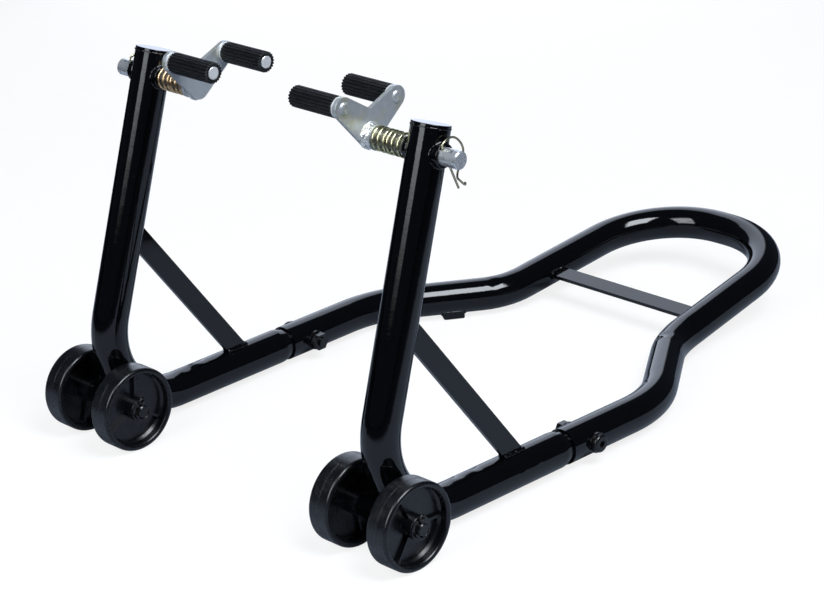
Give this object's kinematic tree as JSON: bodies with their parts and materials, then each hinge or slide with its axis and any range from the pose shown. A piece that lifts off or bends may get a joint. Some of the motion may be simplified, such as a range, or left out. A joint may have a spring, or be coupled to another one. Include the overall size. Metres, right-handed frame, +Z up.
{
  "type": "rear paddock stand",
  "caption": "Welded tube rear paddock stand with side rollers, a looped lever handle and spring-loaded swivelling swingarm cradles",
  "frame": {"origin": "on the floor, under the middle of the bounding box: halfway between the two sides, and halfway between the back of the rollers and the end of the handle", "axes": "+X across the stand, to the right of a person who stands behind the uprights and looks along the arms at the handle; +Y from the rollers to the handle; +Z up"},
  "size_m": [0.478, 0.773, 0.3876],
  "materials": {
    "frame_black": "gloss black powder coat",
    "wheel_black": "satin moulded nylon",
    "sleeve_black": "matt ribbed rubber",
    "zinc_grey": "dull zinc plating",
    "shaft_steel": "turned bright zinc",
    "bare_weld": "plated weld bead",
    "spring_gold": "yellow zinc plating",
    "clip_gold": "yellow zinc wire"
  },
  "bodies": {
    "frame": {"side_tube_right": "frame_black", "post_cap_right": "frame_black", "adapter_bushing_right": "frame_black", "brace_right": "frame_black", "brace_welds_right": "frame_black", "foot_right": "frame_black", "axle_right": "frame_black", "axle_boss_right": "frame_black", "spring_right": "spring_gold", "side_tube_left": "frame_black", "post_cap_left": "frame_black", "adapter_bushing_left": "frame_black", "brace_left": "frame_black", "brace_welds_left": "frame_black", "foot_left": "frame_black", "axle_left": "frame_black", "axle_boss_left": "frame_black", "spring_left": "spring_gold", "handle_tube": "frame_black", "cross_bar": "frame_black", "cross_bar_welds": "frame_black", "hub_washers": "frame_black", "split_pins": "frame_black", "joint_bolts": "frame_black", "joint_washers": "frame_black", "joint_nuts": "frame_black"},
    "wheel_right_outer": {"wheel_right_outer": "wheel_black"},
    "wheel_right_inner": {"wheel_right_inner": "wheel_black"},
    "slider_right": {"spring_washer_right": "zinc_grey"},
    "cradle_right": {"adapter_shaft_right": "shaft_steel", "cradle_plate_right": "zinc_grey", "cradle_weld_right": "bare_weld", "retaining_clip_right": "clip_gold", "peg_right_front": "zinc_grey", "peg_right_rear": "zinc_grey", "sleeve_right_front": "sleeve_black", "sleeve_right_rear": "sleeve_black"},
    "wheel_left_outer": {"wheel_left_outer": "wheel_black"},
    "wheel_left_inner": {"wheel_left_inner": "wheel_black"},
    "slider_left": {"spring_washer_left": "zinc_grey"},
    "cradle_left": {"adapter_shaft_left": "shaft_steel", "cradle_plate_left": "zinc_grey", "cradle_weld_left": "bare_weld", "retaining_clip_left": "clip_gold", "peg_left_front": "zinc_grey", "peg_left_rear": "zinc_grey", "sleeve_left_front": "sleeve_black", "sleeve_left_rear": "sleeve_black"}
  },
  "joints": [
    {"name": "wheel_right_outer_spin", "type": "hinge", "parent": "frame", "child": "wheel_right_outer", "pos_m": [0.221, -0.3455, 0.041], "axis": [1, 0, 0], "continuous": true},
    {"name": "wheel_right_inner_spin", "type": "hinge", "parent": "frame", "child": "wheel_right_inner", "pos_m": [0.15, -0.3455, 0.041], "axis": [1, 0, 0], "continuous": true},
    {"name": "cradle_right_slide", "type": "slide", "parent": "frame", "child": "slider_right", "axis": [1, 0, 0], "range_m": [0, 0.02], "stiffness_N_per_m": 4500, "springref_m": -0.004, "deforming": ["spring_right"]},
    {"name": "cradle_right_swivel", "type": "hinge", "parent": "slider_right", "child": "cradle_right", "pos_m": [0.113, -0.2693, 0.3466], "axis": [1, 0, 0], "continuous": true},
    {"name": "wheel_left_outer_spin", "type": "hinge", "parent": "frame", "child": "wheel_left_outer", "pos_m": [-0.221, -0.3455, 0.041], "axis": [1, 0, 0], "continuous": true},
    {"name": "wheel_left_inner_spin", "type": "hinge", "parent": "frame", "child": "wheel_left_inner", "pos_m": [-0.15, -0.3455, 0.041], "axis": [1, 0, 0], "continuous": true},
    {"name": "cradle_left_slide", "type": "slide", "parent": "frame", "child": "slider_left", "axis": [-1, 0, 0], "range_m": [0, 0.02], "stiffness_N_per_m": 4500, "springref_m": -0.004, "deforming": ["spring_left"]},
    {"name": "cradle_left_swivel", "type": "hinge", "parent": "slider_left", "child": "cradle_left", "pos_m": [-0.113, -0.2693, 0.3466], "axis": [1, 0, 0], "continuous": true}
  ]
}
